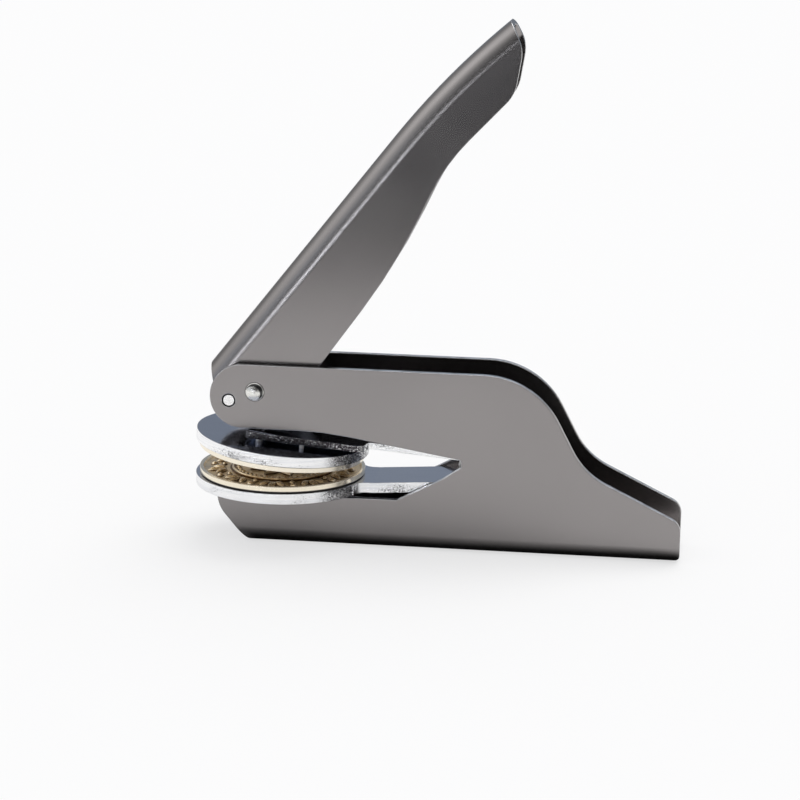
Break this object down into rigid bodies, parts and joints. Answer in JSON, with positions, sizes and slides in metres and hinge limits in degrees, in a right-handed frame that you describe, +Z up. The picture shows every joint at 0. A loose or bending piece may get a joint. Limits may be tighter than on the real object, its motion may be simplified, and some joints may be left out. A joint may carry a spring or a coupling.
{
  "type": "seal embosser",
  "caption": "Desk seal embosser: a folded steel channel with a long folded lever and a hairpin insert of stamped arms that carries round relief dies.",
  "frame": {"origin": "middle of the flat base's underside", "axes": "+Z up out of the base; +X from the dies towards the tail; +Y across the channel, in the direction the lever's pivot pin runs"},
  "size_m": [0.1238, 0.044, 0.1328],
  "materials": {
    "gunmetal_enamel": "smooth semi-gloss enamel",
    "polished_steel": "polished",
    "zinc_steel": "satin zinc plating",
    "dark_steel": "machined and blackened",
    "stamped_steel": "bright stamped sheet",
    "spring_steel": "blued spring steel",
    "engraved_brass": "engraved and polished",
    "die_adhesive": "dark adhesive pad",
    "bearing_bronze": "sintered"
  },
  "bodies": {
    "frame": {"frame_shell": "gunmetal_enamel", "pivot_rivet": "polished_steel", "pivot_washers": "zinc_steel", "stop_pin": "polished_steel", "anvil_block": "dark_steel", "anvil_screws": "zinc_steel", "lower_arm": "stamped_steel", "locating_pegs": "zinc_steel", "lower_die_pad": "die_adhesive", "lower_die": "engraved_brass", "hinge_block": "dark_steel", "rocker_pin": "polished_steel", "clip_spring": "spring_steel", "lower_clip_rivet": "zinc_steel"},
    "lever": {"lever_shell": "gunmetal_enamel", "press_cam": "dark_steel", "cam_rivets": "polished_steel", "pivot_bush": "bearing_bronze"},
    "upper_jaw": {"upper_arm": "stamped_steel", "upper_disc": "stamped_steel", "spacer_posts": "polished_steel", "upper_die_pad": "die_adhesive", "upper_die": "engraved_brass", "upper_clip_rivet": "zinc_steel"}
  },
  "joints": [
    {"name": "lever_hinge", "type": "hinge", "parent": "frame", "child": "lever", "pos_m": [-0.05215, 0, 0.0394], "axis": [0, 1, 0], "range_deg": [0, 38]},
    {"name": "upper_arm_hinge", "type": "hinge", "parent": "frame", "child": "upper_jaw", "pos_m": [0.0007, 0, 0.02223], "axis": [0, -1, 0], "range_deg": [0, 4.9], "stiffness_Nm_per_rad": 3, "springref_deg": -20.05, "deforming": ["clip_spring"]}
  ],
  "couplings": [
    {"joint": "upper_arm_hinge", "follows": "lever_hinge", "ratio": 0.12894}
  ]
}
